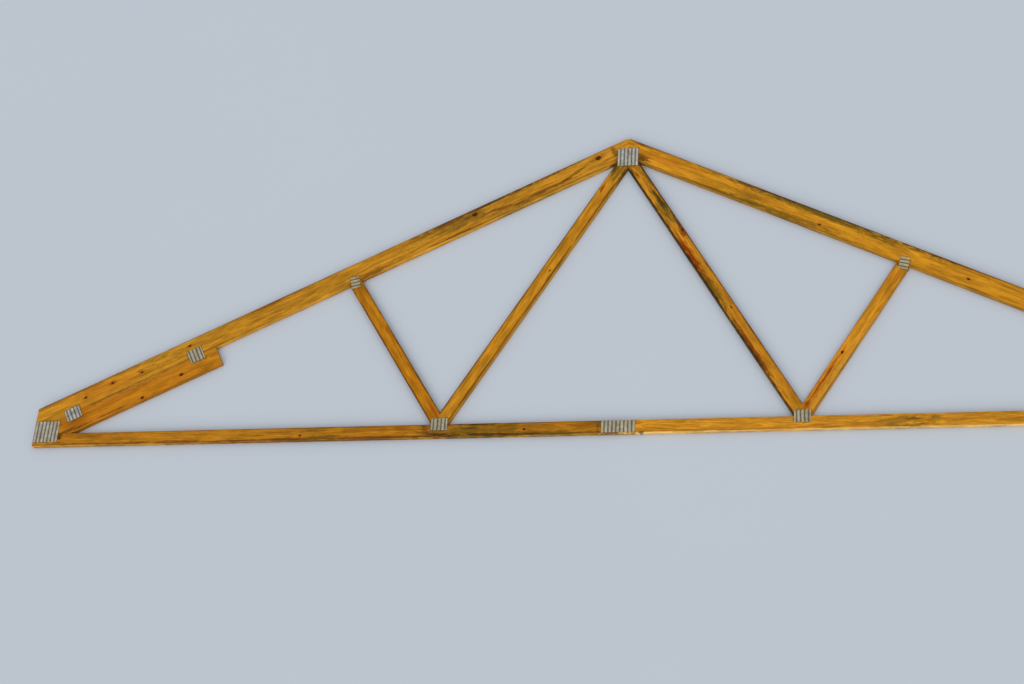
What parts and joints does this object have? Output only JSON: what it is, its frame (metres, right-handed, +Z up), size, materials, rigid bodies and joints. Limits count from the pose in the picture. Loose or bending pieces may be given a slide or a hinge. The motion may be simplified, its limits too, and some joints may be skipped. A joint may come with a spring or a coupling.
{
  "type": "wooden roof truss",
  "caption": "Triangular timber roof truss with W-shaped webs, heel sliders and toothed steel connector plates on both faces, lying flat.",
  "frame": {"origin": "middle of the span and of the rise, on the plane of the back connector plates that the truss lies on", "axes": "+X along the span, +Y from the bearings up to the peak as built into a roof, +Z up from the floor through the thickness"},
  "size_m": [7.9248, 2.2442, 0.0401],
  "materials": {
    "bottom_chord_wood": "sawn softwood, amber with grey-green mildew",
    "top_chord_wood": "sawn softwood, amber with dark streaks",
    "slider_wood": "sawn softwood, amber",
    "web_wood": "sawn softwood, amber with red-brown patches",
    "galvanised_plate": "weathered galvanised sheet"
  },
  "bodies": {
    "root": {"bottom_chord_left": "bottom_chord_wood", "bottom_chord_right": "bottom_chord_wood", "heel_plate_back_left": "galvanised_plate", "heel_plate_back_right": "galvanised_plate", "heel_plate_front_left": "galvanised_plate", "heel_plate_front_right": "galvanised_plate", "long_web_left": "web_wood", "long_web_right": "web_wood", "peak_plate_back": "galvanised_plate", "peak_plate_front": "galvanised_plate", "short_web_left": "web_wood", "short_web_right": "web_wood", "slider_heel_plate_back_left": "galvanised_plate", "slider_heel_plate_back_right": "galvanised_plate", "slider_heel_plate_front_left": "galvanised_plate", "slider_heel_plate_front_right": "galvanised_plate", "slider_left": "slider_wood", "slider_right": "slider_wood", "slider_tip_plate_back_left": "galvanised_plate", "slider_tip_plate_back_right": "galvanised_plate", "slider_tip_plate_front_left": "galvanised_plate", "slider_tip_plate_front_right": "galvanised_plate", "splice_plate_back": "galvanised_plate", "splice_plate_front": "galvanised_plate", "top_chord_left": "top_chord_wood", "top_chord_right": "top_chord_wood", "web_foot_plate_back_left": "galvanised_plate", "web_foot_plate_back_right": "galvanised_plate", "web_foot_plate_front_left": "galvanised_plate", "web_foot_plate_front_right": "galvanised_plate", "web_head_plate_back_left": "galvanised_plate", "web_head_plate_back_right": "galvanised_plate", "web_head_plate_front_left": "galvanised_plate", "web_head_plate_front_right": "galvanised_plate"}
  },
  "joints": []
}
